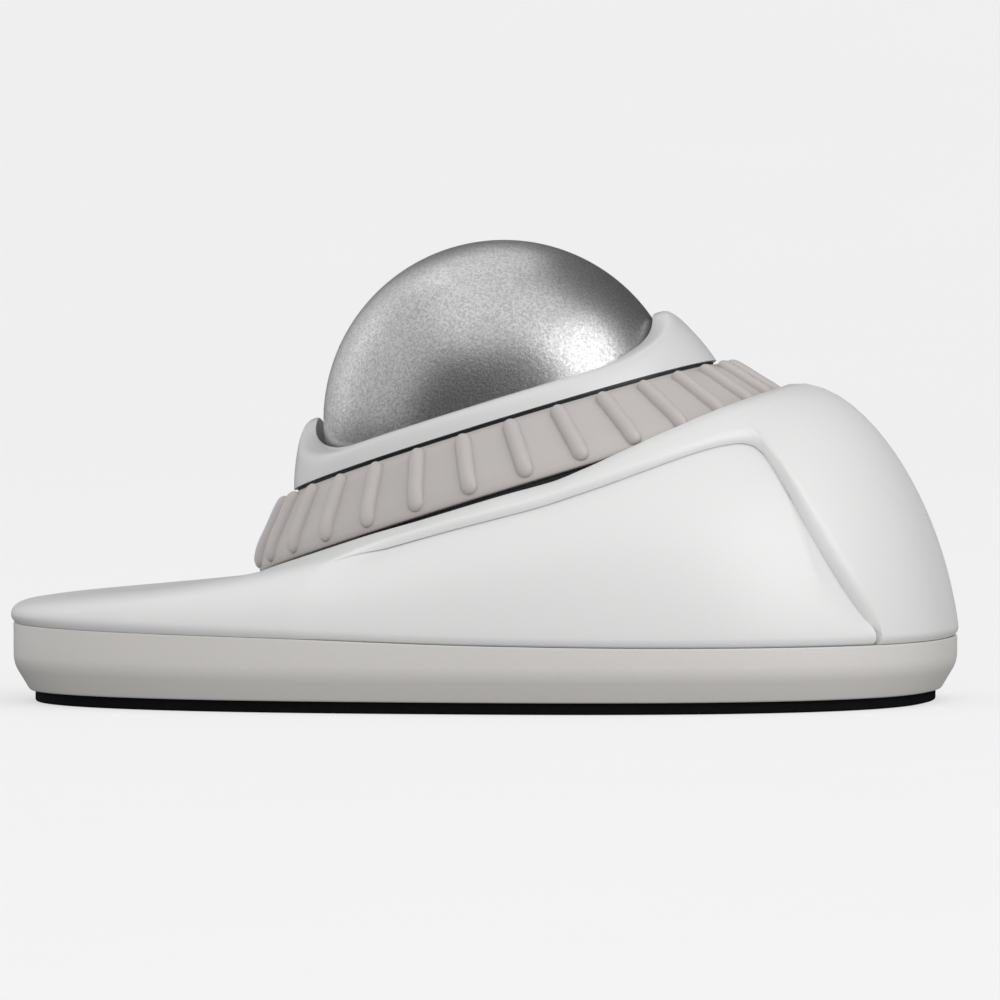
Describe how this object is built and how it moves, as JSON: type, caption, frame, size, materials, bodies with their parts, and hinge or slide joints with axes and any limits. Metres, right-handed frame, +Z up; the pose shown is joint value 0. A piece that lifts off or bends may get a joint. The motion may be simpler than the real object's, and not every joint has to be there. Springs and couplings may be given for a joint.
{
  "type": "trackball mouse",
  "caption": "Finger-operated trackball with a raised ball collar, a ribbed scroll ring around it and side buttons that flex out of the shell.",
  "frame": {"origin": "under the middle of the body, on the surface that the rubber foot strip stands on", "axes": "+X to the device's right side, +Y away from the user, +Z up"},
  "size_m": [0.085, 0.104, 0.051],
  "materials": {
    "white_plastic": "fine satin moulded white",
    "warm_grey_plastic": "satin moulded warm grey",
    "ring_grey": "satin moulded warm grey",
    "black_plastic": "satin black",
    "black_rubber": "matt",
    "ball_silver": "metallic silver lacquer under gloss",
    "ball_core": "cast resin",
    "bearing_steel": "polished",
    "board_green": "solder mask",
    "chip_black": "moulded epoxy",
    "radio_shield": "tinned",
    "clear_lens": "clear moulded",
    "switch_red": "moulded",
    "battery_jacket": "plain gloss sleeve",
    "screw_steel": "zinc plated"
  },
  "bodies": {
    "housing": {"base_tray": "warm_grey_plastic", "top_shell": "white_plastic", "foot_strip": "black_rubber", "ball_collar": "white_plastic", "ball_cup": "black_plastic", "support_bearings": "bearing_steel", "main_board": "board_green", "controller_chip": "chip_black", "radio_module": "radio_shield", "sensor_chip": "chip_black", "sensor_lens": "clear_lens", "sensor_led": "clear_lens", "left_switch": "chip_black", "right_switch": "chip_black", "ring_light_gate": "chip_black", "power_switch": "radio_shield", "connect_dome": "radio_shield", "battery": "battery_jacket", "battery_spring": "radio_shield", "battery_contacts": "radio_shield", "shell_screws": "screw_steel", "cup_screws": "screw_steel", "board_screws": "screw_steel"},
    "ball_core": {"trackball_core": "ball_core"},
    "ball": {"trackball_shell": "ball_silver"},
    "ring": {"scroll_ring": "ring_grey", "ring_code_skirt": "black_plastic"},
    "right_button": {"right_button": "white_plastic"},
    "left_button": {"left_button": "white_plastic"},
    "right_plunger": {"right_plunger": "switch_red"},
    "left_plunger": {"left_plunger": "switch_red"},
    "battery_door": {"battery_door": "warm_grey_plastic"},
    "receiver": {"receiver_cap": "black_plastic", "receiver_plug": "radio_shield"},
    "power_slider": {"power_slider": "ring_grey"},
    "connect_button": {"connect_button": "ring_grey"}
  },
  "joints": [
    {"name": "ball_roll_forward", "type": "hinge", "parent": "housing", "child": "ball_core", "pos_m": [0, 0.002, 0.031], "axis": [1, 0, 0], "continuous": true},
    {"name": "ball_roll_sideways", "type": "hinge", "parent": "ball_core", "child": "ball", "pos_m": [0, 0.002, 0.031], "axis": [0, 1, 0], "continuous": true},
    {"name": "scroll_ring_spin", "type": "hinge", "parent": "housing", "child": "ring", "pos_m": [0, 0.002, 0.031], "axis": [0, -0.2974, 0.9548], "continuous": true},
    {"name": "right_button_press", "type": "hinge", "parent": "housing", "child": "right_button", "pos_m": [0, -0.018, 0.0085], "axis": [-1, 0, 0], "range_deg": [0, 0.45], "stiffness_Nm_per_rad": 2},
    {"name": "left_button_press", "type": "hinge", "parent": "housing", "child": "left_button", "pos_m": [0, -0.018, 0.0085], "axis": [-1, 0, 0], "range_deg": [0, 0.45], "stiffness_Nm_per_rad": 2},
    {"name": "right_plunger_press", "type": "slide", "parent": "housing", "child": "right_plunger", "axis": [0, 0, -1], "range_m": [0, 0.00025]},
    {"name": "left_plunger_press", "type": "slide", "parent": "housing", "child": "left_plunger", "axis": [0, 0, -1], "range_m": [0, 0.00025]},
    {"name": "battery_door_off", "type": "slide", "parent": "housing", "child": "battery_door", "axis": [0, 0, -1], "range_m": [0, 0.012]},
    {"name": "receiver_out", "type": "slide", "parent": "housing", "child": "receiver", "axis": [0, 0, -1], "range_m": [0, 0.012]},
    {"name": "power_slider_slide", "type": "slide", "parent": "housing", "child": "power_slider", "axis": [1, 0, 0], "range_m": [0, 0.003]},
    {"name": "connect_button_press", "type": "slide", "parent": "housing", "child": "connect_button", "axis": [0, 0, 1], "range_m": [0, 0.0004], "stiffness_N_per_m": 800}
  ],
  "couplings": [
    {"joint": "right_plunger_press", "follows": "right_button_press", "m_per_rad": 0.0314},
    {"joint": "left_plunger_press", "follows": "left_button_press", "m_per_rad": 0.0314}
  ]
}
